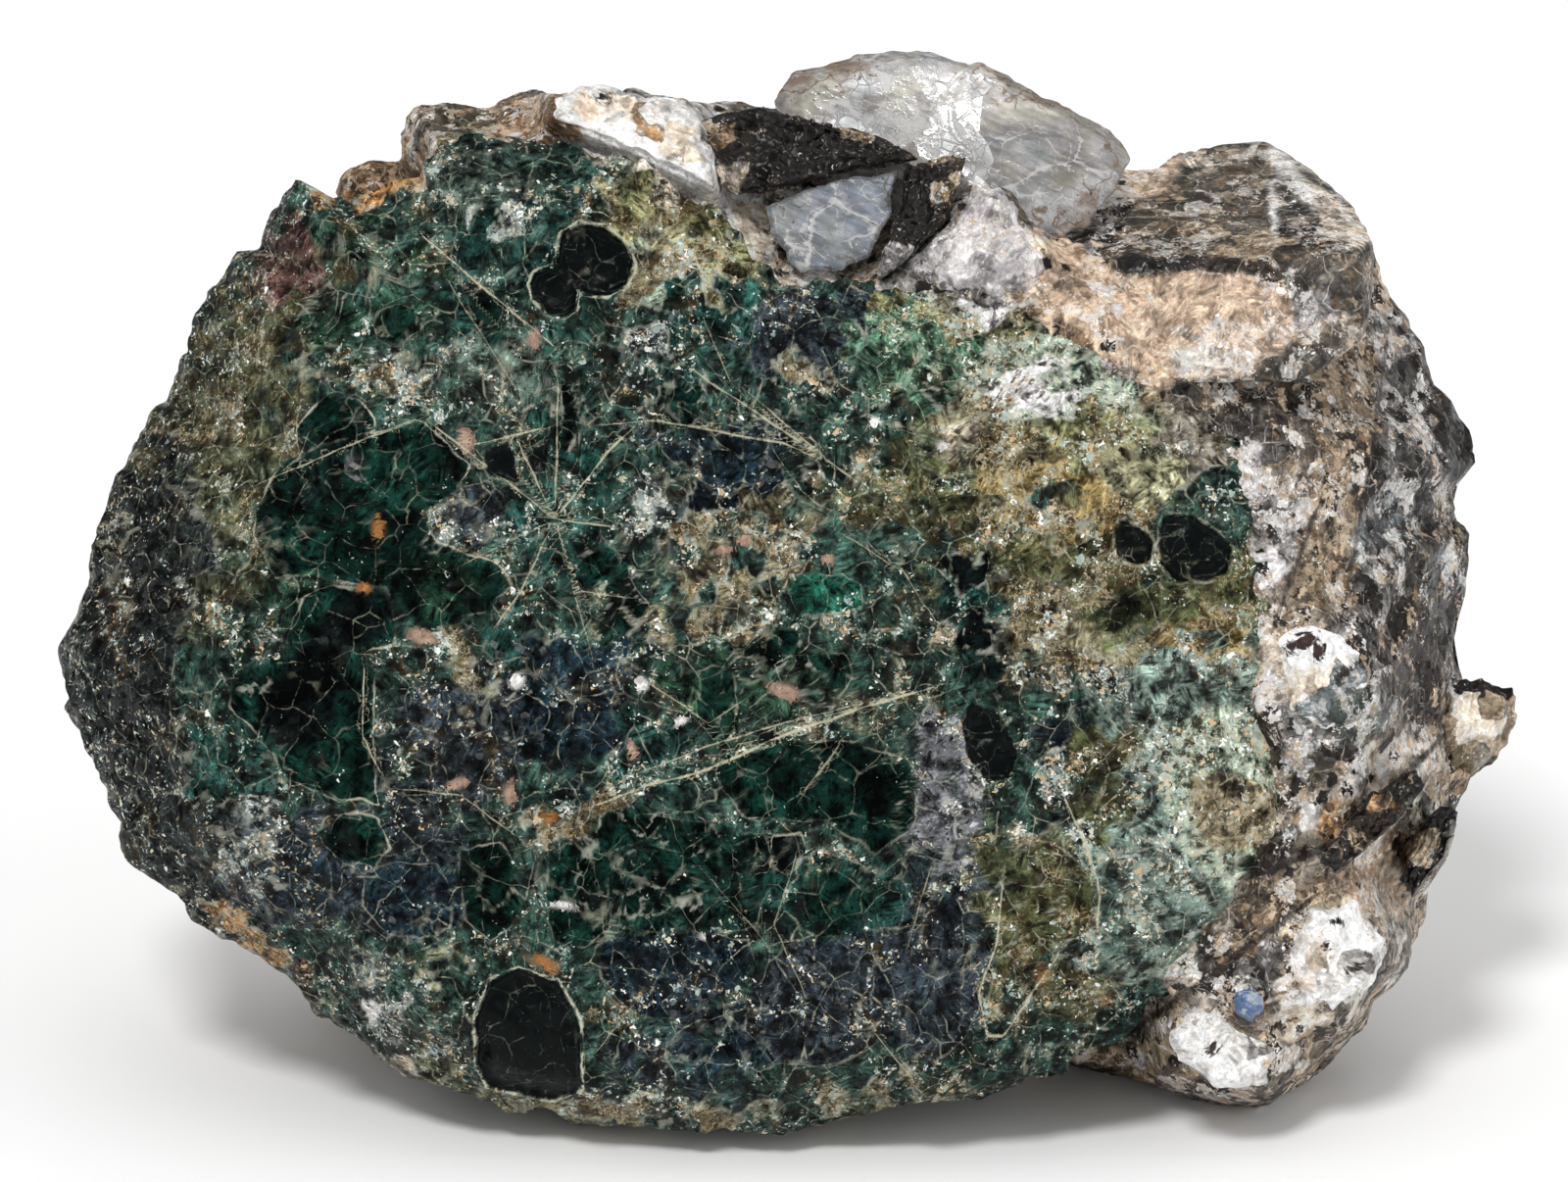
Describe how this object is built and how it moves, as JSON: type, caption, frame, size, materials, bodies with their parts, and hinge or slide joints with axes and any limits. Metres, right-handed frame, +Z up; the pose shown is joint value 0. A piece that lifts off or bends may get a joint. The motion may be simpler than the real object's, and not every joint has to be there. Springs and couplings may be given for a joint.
{
  "type": "cordierite in matrix",
  "caption": "Natural hand specimen: a broken blue-green cordierite mass in a feldspar, quartz and mica matrix, standing on a flat break on its underside.",
  "frame": {"origin": "on the surface that the stone stands on, under the middle of its bounding box", "axes": "+Z up, +X to the right of the cordierite face, and the face looks towards -Y, leaning back by 20 degrees"},
  "size_m": [0.0948, 0.046, 0.0653],
  "materials": {
    "cordierite": "broken and glassy, blue-green with pale healed cracks",
    "matrix": "rough grey-brown feldspar and mica rock with rust stains",
    "clear_quartz": "clear blue-grey with white inner cracks",
    "milky_quartz": "milky lilac-grey, sugary",
    "smoky_quartz": "smoky and glassy on top, peach and streaky in front",
    "mica": "dark brown, in shiny sheets",
    "feldspar": "white to cream, blocky, with maroon specks",
    "blue_crystal": "glassy blue"
  },
  "bodies": {
    "root": {"cordierite": "cordierite", "matrix": "matrix", "quartz_large": "clear_quartz", "quartz_small": "clear_quartz", "quartz_milky": "milky_quartz", "smoky_block": "smoky_quartz", "mica_book_left": "mica", "mica_book_right": "mica", "mica_plate": "mica", "mica_edge": "mica", "feldspar_top": "feldspar", "feldspar_side": "feldspar", "feldspar_low_inner": "feldspar", "feldspar_low_outer": "feldspar", "side_knob": "feldspar", "blue_grain": "blue_crystal"}
  },
  "joints": []
}
